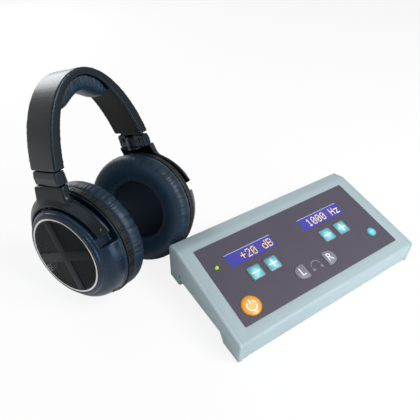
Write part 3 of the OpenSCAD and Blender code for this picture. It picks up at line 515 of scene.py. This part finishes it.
def key_piece(name, face, slot="key_grey", rim=rim_grey):
    """Key cap: a plain rim round a raised face with slanted edges."""
    obj = copy_of(name, name.replace("_key", "_cap"))
    obj.data.materials.clear()
    obj.data.materials.append(rim)
    obj.data.materials.append(face)
    local = PANEL.inverted()
    mode("EDIT")
    bpy.ops.mesh.select_mode(type="FACE")
    bpy.ops.mesh.select_all(action="DESELECT")
    mode("OBJECT")
    for part in obj.data.polygons:
        part.select = (local @ part.center).z > (KEY_TOP - KEY_TOP_BAND) * MM
    mode("EDIT")
    bpy.ops.mesh.dissolve_faces()
    bpy.ops.mesh.inset(thickness=KEY_RIM * MM, depth=0)
    obj.active_material_index = 1
    bpy.ops.object.material_slot_assign()
    bpy.ops.mesh.inset(thickness=KEY_SLANT * MM, depth=KEY_RISE * MM)
    mode("OBJECT")
    finish(smooth(obj, 40), name, None, slot, name)


keys = {
    "level_down": (LEVEL_X - KEY_PITCH / 2, KEY_ROW),
    "level_up": (LEVEL_X + KEY_PITCH / 2, KEY_ROW),
    "frequency_down": (FREQUENCY_X - KEY_PITCH / 2, KEY_ROW),
    "frequency_up": (FREQUENCY_X + KEY_PITCH / 2, KEY_ROW),
}
for name, at in keys.items():
    # Polycarbonate cap printed teal, with a painted glow that is pale in the middle, where its
    # light pipe ends
    teal = painted_light_face("teal_polycarbonate_painted_glow_" + name, at, "#2fb3be", "#b4e6ec", 6.6)
    key_piece(name + "_key", teal, "key_teal")
# The same in orange with an amber rim, and the same painted glow
orange = painted_light_face("orange_polycarbonate_painted_glow", POWER_AT, "#f0a01c", "#fbd182", 8.2)
key_piece("power_key", orange, "key_orange", amber_rim)
for word in SIDES:
    key_piece(word + "ear_key", ear_key_grey)


# ---- console: printed signs ----
INK_T = 0.07  # half the thickness of a stroke
INK_Z = KEY_TOP + KEY_RISE + 0.1  # middle of the ink on a key
SIGN_HALF, SIGN_LINE = 4.1, 1.25  # plus and minus signs: half their length, and their width
POWER_LINE = 1.15
LETTER_SIZE, LETTER_T, LETTER_BOLD = 10.6, 0.04, 0.02  # half the thickness, and the swelling
LETTER_IN = 0.7  # letters stand this far in from the middles of their keys
PHONES_Y = EAR_KEY_Y - 0.6
PHONES_LINE, PHONES_CUP = 0.8, 2.5


def stroke(name, lines, width):
    """Printed strokes: round-ended lines of ink, pressed flat on the panel's face."""
    data = bpy.data.curves.new(name, "CURVE")
    data.dimensions = "3D"
    data.bevel_depth, data.bevel_resolution, data.use_fill_caps = width / 2 * MM, 3, True
    for line in lines:
        spline = data.splines.new("POLY")
        spline.points.add(len(line) - 1)
        for point, (x, y) in zip(spline.points, line):
            point.co = (x * MM, y * MM, 0, 1)
    link(name, data)
    bpy.ops.object.convert(target="MESH")
    obj = bpy.context.object
    obj.data.transform(Matrix.Scale(INK_T / width * 2, 4, (0, 0, 1)))
    return smooth(obj, 50)


def letter(name, text):
    """A printed letter: a thin plate in Blender's own typeface."""
    data = bpy.data.curves.new(name, "FONT")
    data.body, data.size = text, LETTER_SIZE * MM
    data.align_x = data.align_y = "CENTER"
    data.extrude, data.offset = LETTER_T * MM, LETTER_BOLD * MM
    link(name, data)
    bpy.ops.object.convert(target="MESH")
    return bpy.context.object


def arc(y, r, start, end, steps):
    """Points round (0, y), from one angle to another."""
    angles = [math.radians(start + (end - start) * i / steps) for i in range(steps + 1)]
    return [(r * math.cos(a), y + r * math.sin(a)) for a in angles]


def sign(obj, body, x, y, z, ink):
    """Puts a sign at its place on the panel."""
    finish(place(obj, PANEL @ shift(x, y, z)), body, ink, "overlay")


for name, at in keys.items():
    lines = [[(-SIGN_HALF, 0), (SIGN_HALF, 0)]]
    if name.endswith("up"):
        lines.append([(0, -SIGN_HALF), (0, SIGN_HALF)])
    sign(stroke(name + "_sign", lines, SIGN_LINE), name + "_key", *at, INK_Z, white_ink)
power = [arc(-0.3, 4.3, 122, 418, 40), [(0, 1.4), (0, 5.2)]]
sign(stroke("power_sign", power, POWER_LINE), "power_key", *POWER_AT, INK_Z, white_ink)
for word, side in SIDES.items():
    x = side * (EAR_KEY_X - LETTER_IN)
    text = letter(word + "ear_sign", word[0].upper())
    sign(text, word + "ear_key", x, EAR_KEY_Y, INK_Z, white_ink)
band = [arc(0, 5, 8, 172, 24), [(-5.1, -0.6), (-4.5, -2.6)], [(5.1, -0.6), (4.5, -2.6)]]
cups = [[(-4.8, -1.5), (-4.3, -3.6)], [(4.8, -1.5), (4.3, -3.6)]]
sign(stroke("headset_sign", band, PHONES_LINE), "console", 0, PHONES_Y, FILM_T, grey_ink)
sign(stroke("headset_sign_cups", cups, PHONES_CUP), "console", 0, PHONES_Y, FILM_T, grey_ink)


# ---- console: read-outs, windows, lamp and badge ----
# Character cells, five dots by seven, top row first
DOTS = {
    "+": "..... ..#.. ..#.. ##### ..#.. ..#.. .....",
    "0": ".###. #...# #..## #.#.# ##..# #...# .###.",
    "1": "..#.. .##.. ..#.. ..#.. ..#.. ..#.. .###.",
    "2": ".###. #...# ....# ...#. ..#.. .#... #####",
    "d": "....# ....# .##.# #..## #...# #...# .####",
    "B": "####. #...# #...# ####. #...# #...# ####.",
    "H": "#...# #...# #...# ##### #...# #...# #...#",
    "z": "..... ..... ##### ...#. ..#.. .#... #####",
}
DOT_X, DOT_Y, DOT_T = 0.93, 1.22, 0.04  # pitch across and up, and thickness
DOT_FILL_X, DOT_FILL_Y = 0.86, 0.88  # a dot's share of its pitch
FIGURES_Y = WINDOW_Y - 0.4
CELL, CELLS = 5.85, 8  # pitch of the characters, and how many a display holds


def read_out(name, text, middle, ink):
    """Dot-matrix figures, set to the right: one small plate for each lit dot."""
    bpy.ops.mesh.primitive_cube_add(size=MM)
    dot = bpy.context.object
    dot.data.transform(Matrix.Diagonal((DOT_X * DOT_FILL_X, DOT_Y * DOT_FILL_Y, DOT_T, 1)))
    copies = []
    for k, character in enumerate(text):
        for row, line in enumerate(DOTS.get(character, "").split()):
            for column, mark in enumerate(line):
                if mark == "#":
                    x = middle + (k - len(text) + CELLS / 2 + 0.5) * CELL + (column - 2) * DOT_X
                    y = FIGURES_Y + (3 - row) * DOT_Y
                    copies.append(link(name, dot.data.copy()))
                    copies[-1].data.transform(PANEL @ shift(x, y, FILM_T + DOT_T / 2))
    bpy.data.objects.remove(dot)
    for made in copies:
        made.select_set(True)
    bpy.context.view_layer.objects.active = copies[0]
    bpy.ops.object.join()
    bpy.context.object.name = name
    finish(bpy.context.object, "console", ink, "display")


def lit_ink(name, colour, warm):
    """Back-lit segment ink: its own colour, a little of it shining."""
    made, tree, shader = material(
        name, Roughness=0.5, Emission_Color=linear(colour), Emission_Strength=0.35
    )
    tone = blend(tree, patches(tree, here(tree), 260, 1), colour, warm)
    feed(tree, shader, Base_Color=tone)
    return made


yellow = lit_ink("yellow_segments", "#ecd857", "#d9bb3c")
pale = lit_ink("pale_segments", "#efe6c4", "#dccb94")
read_out("level_read_out", "+20 dB", LEVEL_X, yellow)
read_out("frequency_read_out", "1000 Hz", FREQUENCY_X, pale)

# Window film over the displays: dyed blue, violet where the back light is behind it, and a painted
# highlight along its top edge
window, tree, shader = material(
    "dyed_window_film", Roughness=0.22, IOR=1.55, Coat_Weight=0.4, Coat_Roughness=0.06,
    Emission_Color=linear("#3d35a0"), Emission_Strength=0.12,
)
on_panel = {"Vector": here(tree), "Location": PANEL.to_translation(), "Rotation": PANEL.to_euler()}
spot = add(tree, "Mapping", on_panel, vector_type="TEXTURE").outputs[0]
axes = add(tree, "SeparateXYZ", {0: spot}).outputs
across = calc(tree, "SUBTRACT", axes["X"], (LEVEL_X + FREQUENCY_X) / 2 * MM)
across = calc(tree, "SUBTRACT", calc(tree, "ABSOLUTE", across), (FREQUENCY_X - LEVEL_X) / 2 * MM)
across = calc(tree, "DIVIDE", across, WINDOW_W / 2 * MM)
up = calc(tree, "DIVIDE", calc(tree, "SUBTRACT", axes["Y"], WINDOW_Y * MM), WINDOW_H / 2 * MM)
tone = blend(tree, ramp(tree, length(tree, across, up), 0.2, 1.1), "#52409a", "#363ba0")
# painted highlight: a pale band along the top edge of each window
feed(tree, shader, Base_Color=blend(tree, ramp(tree, up, 0.86, 0.95), tone, "#b9c2ea"))
paint("display_windows", window)

# Green lamp: clear tinted epoxy dome, brighter towards its front
LIT_FROM, LIT_TO = -1.1, 0.9  # from its middle, front to back

green, tree, shader = material(
    "green_lamp_epoxy", Roughness=0.15, IOR=1.5, Emission_Strength=0.25
)
lamp_y = (PANEL @ shift(*LAMP_AT, 0)).to_translation().y
depth = add(tree, "SeparateXYZ", {0: here(tree)}).outputs["Y"]
share = ramp(tree, depth, lamp_y + LIT_FROM * MM, lamp_y + LIT_TO * MM)
tone = blend(tree, share, "#a4dc22", "#2c7a1c")
feed(tree, shader, Base_Color=tone, Emission_Color=tone)
paint("status_lamp", green)

# Plain badge: domed resin over teal foil, with a painted highlight that is pale in the middle of
# the dome
foil = painted_light_face("resin_over_teal_foil_painted_highlight", BADGE_AT, "#35b2c0", "#9adfe8", 5.0)
dome = bevel(copy_of("round_badge", "badge_dome"), width=0.25, segments=3, angle=40)
smooth(dome, 50)
finish(dome, "console", foil, "badge", "round_badge")

# Case mouldings: their edges softened, so that the seams to the end caps show as fine grooves
for name in ("case_top", "case_base", "left_end_cap", "right_end_cap"):
    piece = bevel(copy_of(name, name + "_moulding"), width=0.55, segments=3, angle=35)
    finish(smooth(piece, 40), "console", case_abs, "case", name)


# ---- headset: shells, arms and arches ----
FILLET = 3.2  # swelling by this and back fills the inner corner between arm and arch
ARCH_VOXEL = 0.6


def soften(node, name, voxel, passes):
    """Moulded form: the CAD solid as a fine even mesh, its edges then rounded by smoothing."""
    return smooth(relax(remesh(copy_of(node, name), voxel), passes), 60)


band = soften("headband_shell", "band_shell", voxel=0.75, passes=9)
finish(band, "headband", band_abs, "shell", "headband_shell")
for word in SIDES:
    arm = soften(word + "slider", word + "arm", voxel=0.5, passes=10)
    finish(arm, word + "slider_arm", band_abs, "shell", word + "slider")
    arch = remesh(copy_of(word + "yoke", word + "arch"), ARCH_VOXEL)
    for swell in (FILLET, -FILLET):
        relax(arch, passes=3)
        apply(arch, "DISPLACE", strength=swell * MM, mid_level=0)
        remesh(arch, ARCH_VOXEL)
    smooth(relax(arch, passes=8), 60)
    finish(arch, word + "yoke_arm", band_abs, "shell", word + "yoke")
    cover = soften(word + "hinge_cover", word + "hinge_plate", voxel=0.35, passes=5)
    finish(cover, OWNER[word + "hinge_cover"], band_abs, "shell", word + "hinge_cover")


# ---- headset: ear cups ----
HOLE_PITCH = 1.6
HOLE_EDGE = (0.28, 0.4)  # a hole's floor and its rim, as shares of the pitch
GRILLE_TURN, GRILLE_BAND = 9, 8.6  # the plain bands' turn and width
GRILLE_R = RING_R - 2.6  # holes end here
THREAD = 0.9  # pitch of the cloth's threads
PEBBLE = 0.8  # pitch of the leatherette's grain


def cup_axes(side):
    """An ear cup's middle, and its directions front to back and upwards."""
    there = cup_place(side)
    return there.to_translation(), *(there.col[k].to_3d().normalized() for k in (1, 2))


def along(tree, point, start, direction):
    """Distance of a shading point from start along a direction, in metres."""
    away = add(tree, "VectorMath", {0: point, 1: start}, operation="SUBTRACT").outputs[0]
    inputs = {0: away, 1: direction}
    return add(tree, "VectorMath", inputs, operation="DOT_PRODUCT").outputs["Value"]


def grille_steel(name, side):
    """Etched steel sheet, painted black: six-sided rows of holes between plain crossing bands.
    The real holes stand 1.2 mm apart and are drawn 1.6 mm apart so that they show."""
    made, tree, shader = material(name, IOR=1.5, Specular_IOR_Level=0.12)
    start, across, up = cup_axes(side)
    point = here(tree)
    u, v = along(tree, point, start, across), along(tree, point, start, up)
    lattices = []
    for half in (0.5, 0.0):  # two oblong lattices, half a cell apart, make the six-sided rows
        parts = []
        for value, tall in ((u, 1), (v, math.sqrt(3))):
            cell = calc(tree, "MULTIPLY_ADD", value, 1 / (HOLE_PITCH * MM * tall), 100 + half)
            cell = calc(tree, "SUBTRACT", calc(tree, "FRACT", cell), 0.5)
            parts.append(calc(tree, "MULTIPLY", cell, tall))
        lattices.append(length(tree, *parts))
    hole = ramp(tree, calc(tree, "MINIMUM", *lattices), *HOLE_EDGE, 1, 0)
    for angle in (-GRILLE_TURN, 90 - GRILLE_TURN):
        a, b = math.cos(math.radians(angle)), math.sin(math.radians(angle))
        off = calc(tree, "MULTIPLY_ADD", v, b, calc(tree, "MULTIPLY", u, a))
        beyond = calc(tree, "GREATER_THAN", calc(tree, "ABSOLUTE", off), GRILLE_BAND / 2 * MM)
        hole = calc(tree, "MULTIPLY", hole, beyond)
    inside = calc(tree, "LESS_THAN", length(tree, u, v), GRILLE_R * MM)
    hole = calc(tree, "MULTIPLY", hole, inside)
    tone = blend(tree, patches(tree, point, 40, 2), "#0c1518", "#0d1b21")
    feed(
        tree,
        shader,
        Base_Color=blend(tree, hole, tone, "#05080a"),
        Roughness=ramp(tree, hole, 0, 1, 0.38, 0.8),
        Normal=relief(tree, hole, 0.6, 0.3, invert=True),
    )
    return made


def woven(name, side, light, dark):
    """Acoustic cloth: two crossing sets of threads. The real threads are 0.3 mm apart and are
    drawn 0.9 mm apart so that they show."""
    made, tree, shader = material(name, Roughness=0.95, Sheen_Weight=0.25, Sheen_Roughness=0.5)
    start, *directions = cup_axes(side)
    point = here(tree)
    waves = []
    for direction in directions:
        far = along(tree, point, start, direction)
        waves.append(calc(tree, "SINE", calc(tree, "MULTIPLY", far, 2 * math.pi / (THREAD * MM))))
    share = ramp(tree, calc(tree, "MULTIPLY", *waves), -1, 1)
    tone = blend(tree, share, light, dark)
    feed(tree, shader, Base_Color=tone, Normal=relief(tree, share, 0.4, 0.2))
    return made


def leatherette(name, light, dark, crease_shade):
    """Soft coated fabric: dull blue-black with a fine pebbled grain, with painted shade in the
    bottoms of its folds, so that their ridges show paler. The real grain is 0.4 mm and is drawn at
    0.8 mm so that it shows."""
    made, tree, shader = material(
        name, IOR=1.48, Specular_IOR_Level=0.35,
        Sheen_Weight=0.05, Sheen_Roughness=0.4, Sheen_Tint=linear("#5f8fb4"),
    )
    point = here(tree)
    fold = add(tree, "Attribute", attribute_name="fold").outputs["Fac"]
    grain = add(tree, "TexVoronoi", {"Vector": point, "Scale": 1 / (PEBBLE * MM)})
    broad = patches(tree, point, 45, 3)
    tone = blend(tree, broad, light, dark)
    feed(
        tree,
        shader,
        # painted shade: the deeper a fold, the nearer its colour to the dark crease colour
        Base_Color=blend(tree, ramp(tree, fold, 0.05, 0.85), tone, crease_shade),
        Roughness=ramp(tree, broad, 0, 1, 0.36, 0.52),
        Normal=relief(tree, grain.outputs["Distance"], 0.25, 0.2),
    )
    return made


# Sections as (radius, place along the cup's axis): the ear cushion, from its seat on the
# collar round its outer side, and the cloth over the driver, flat behind and domed in front
PAD_LINE = [
    (47.2, -3.22), (49.4, -5.4), (50.4, -10.4), (48.6, -15.8), (44.4, -18.9), (38.5, -19.7),
    (32.4, -18.8), (28.0, -16.4), (26.5, -13.0), (26.7, -9.0), (28.2, -5.2), (29.9, -3.22),
]
CLOTH_LINE = [(0, -3.24), (28.6, -3.24), (28.6, -3.95), (20, -4.4), (8, -4.6), (0, -4.62)]
PAD_STEPS, CLOTH_STEPS = 640, 96
PAD_FOLD, HEAD_PAD_FOLD = 0.55, 0.9  # deepest folds
WIDE_FOLDS, FINE_FOLDS, FOLD_DRIFT = 19, 34, 5  # how densely the folds follow each other
OUTER_R, OUTER_X = (41, 49), (-3.5, -6)  # folds deepen outwards, and away from the seat
INNER_R, INNER_X = (35, 28), (-4, -7)  # and again towards the opening
HEAD_PAD_FOLDS = 24
HEAD_PAD_SEAM = (0.42, 0.98)  # shares of the half width between which the folds deepen

# the last colour is painted shade, for the bottoms of the folds
pad_skin = leatherette("protein_leatherette", "#173247", "#0f2333", "#04080c")


def ear_pad(side, word):
    """Ring cushion: spun from its section, then gathered into fine folds on its two sides."""
    line = smooth_line([(r, x, 0) for r, x in PAD_LINE], 4)
    obj = spun(word + "ear_cushion", [(p.x, p.y) for p in line], PAD_STEPS, closed=True)

    def share_at(point):
        x, y, z = point / MM
        r = math.hypot(y, z)
        y, z = y / r, z / r
        outer = ease(*OUTER_R, r) * ease(*OUTER_X, x)
        inner = ease(*INNER_R, r) * ease(*INNER_X, x)
        drift = 0.7 * noise.noise(Vector((y * FOLD_DRIFT, z * FOLD_DRIFT, r * 0.08 + side)))
        wide = crease(y * WIDE_FOLDS + drift, z * WIDE_FOLDS, r * 0.05 + 3 * side)
        fine = crease(y * FINE_FOLDS, z * FINE_FOLDS + drift, r * 0.07 + 9 * side)
        return (0.22 + 0.6 * outer + 0.5 * inner) * (0.65 * wide + 0.45 * fine)

    place(smooth(gather(obj, share_at, PAD_FOLD), 180), cup_place(side))
    finish(obj, word + "cup", pad_skin, "pad", word + "ear_pad")


for word, side in SIDES.items():
    shell = soften(word + "cup_shell", word + "bowl", voxel=0.65, passes=6)
    finish(shell, word + "cup", bowl_abs, "shell_gloss", word + "cup_shell")
    grille = copy_of(word + "grille", word + "face_grille")
    bevel(grille, width=0.3, segments=2, angle=40)
    etched = grille_steel(word + "etched_grille_steel", side)
    finish(smooth(grille, 40), word + "cup", etched, "mesh", word + "grille")
    cloth = spun(word + "acoustic_cloth", CLOTH_LINE, CLOTH_STEPS, closed=False)
    threads = woven(word + "acoustic_cloth", side, "#143048", "#081420")
    place(smooth(cloth, 50), cup_place(side))
    finish(cloth, word + "cup", threads, "cloth", word + "driver_cloth")
    ear_pad(side, word)


def head_pad_share(point):
    """Folds across the pad, deepest at its two long seams."""
    x, y, z = (FROM_HEAD @ point) / MM
    round_band = math.atan2(x, z - BAND_Z)
    seam = ease(*HEAD_PAD_SEAM, abs(y) / HEAD_PAD_HALF)
    return (0.04 + 0.5 * seam) * crease(round_band * HEAD_PAD_FOLDS, y * 0.07, 5 if y > 0 else 9)


# Head pad: foam under the same skin, with the same painted shade in its folds
pad = relax(remesh(copy_of("head_pad", "head_cushion"), voxel=0.6), passes=24)
smooth(gather(pad, head_pad_share, HEAD_PAD_FOLD), 180)
finish(pad, "headband", pad_skin, "pad", "head_pad")
